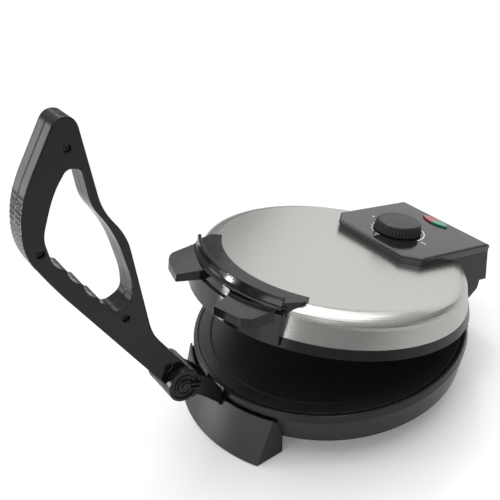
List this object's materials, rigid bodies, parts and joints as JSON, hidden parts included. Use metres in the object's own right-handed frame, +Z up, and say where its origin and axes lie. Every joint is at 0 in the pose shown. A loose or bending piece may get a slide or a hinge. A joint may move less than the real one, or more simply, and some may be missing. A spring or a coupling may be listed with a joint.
{
  "type": "electric roti maker",
  "caption": "Countertop electric roti maker with hinged steel lid, heated non-stick plates, press lever and thermostat dial.",
  "frame": {"origin": "on the surface it stands on, under the middle of its overall length and width, with the lever folded out and the lid open as in the picture", "axes": "+Z up, -Y towards the press lever and lid handle, +Y towards the lid hinge, +X to the right seen from the front"},
  "size_m": [0.292, 0.4638, 0.3775],
  "materials": {
    "body_plastic": "black moulded plastic, semi-gloss",
    "handle_plastic": "black moulded plastic, semi-gloss",
    "panel_plastic": "dark grey gloss plastic",
    "knob_plastic": "black plastic, fine flutes round the grip",
    "cover_steel": "brushed stainless steel",
    "plate_coating": "cast aluminium with black non-stick coating",
    "pan_paint": "black enamelled sheet steel",
    "fastener_steel": "zinc-plated steel",
    "dark_fastener": "blackened steel",
    "element_steel": "heater tube, heat-tinted",
    "reflector_metal": "pressed aluminium sheet",
    "ceramic": "cream ceramic or phenolic",
    "insulation_felt": "mineral felt",
    "feet_rubber": "black rubber",
    "bush_brass": "plain",
    "lens_red": "translucent red",
    "lens_green": "translucent green",
    "lamp_glass": "clear"
  },
  "bodies": {
    "base": {"base_housing": "body_plastic", "base_bottom_cover": "pan_paint", "front_foot": "body_plastic", "rear_foot": "body_plastic", "rubber_feet": "feet_rubber", "base_screws": "fastener_steel", "cord_bushing": "feet_rubber", "lower_plate": "plate_coating", "lower_heating_element": "element_steel", "lower_reflector": "reflector_metal", "lower_plate_pillars": "fastener_steel", "thermal_fuse": "ceramic", "base_terminal_block": "ceramic", "hinge_pins": "fastener_steel", "lever_bracket": "body_plastic", "bracket_screws": "fastener_steel", "pivot_caps": "body_plastic", "lever_pivot_pin": "dark_fastener", "pin_clip": "dark_fastener"},
    "lid": {"lid_cover": "cover_steel", "lid_ring": "body_plastic", "upper_plate": "plate_coating", "upper_heating_element": "element_steel", "upper_reflector": "reflector_metal", "upper_plate_studs": "fastener_steel", "insulation_pad": "insulation_felt", "lid_handle": "handle_plastic", "handle_screws": "fastener_steel", "control_panel": "panel_plastic", "hinge_housing": "handle_plastic", "housing_screws": "fastener_steel", "thermostat": "ceramic", "indicator_lamps": "lamp_glass", "red_lens": "lens_red", "green_lens": "lens_green", "terminal_strip": "ceramic"},
    "dial": {"knob": "knob_plastic", "thermostat_spindle": "fastener_steel"},
    "lever": {"lever_shell_right": "handle_plastic", "lever_shell_left": "handle_plastic", "lever_bush": "bush_brass", "lever_screws": "dark_fastener"}
  },
  "joints": [
    {"name": "lid_hinge", "type": "hinge", "parent": "base", "child": "lid", "pos_m": [0, 0.21016, 0.063], "axis": [-1, 0, 0], "range_deg": [-14.8, 75]},
    {"name": "lever_swing", "type": "hinge", "parent": "base", "child": "lever", "pos_m": [0, -0.12814, 0.0914], "axis": [-1, 0, 0], "range_deg": [0, 44]},
    {"name": "knob_turn", "type": "hinge", "parent": "lid", "child": "dial", "pos_m": [0, 0.15871, 0.12862], "axis": [0, 0.2554, 0.9668], "range_deg": [0, 270]}
  ]
}
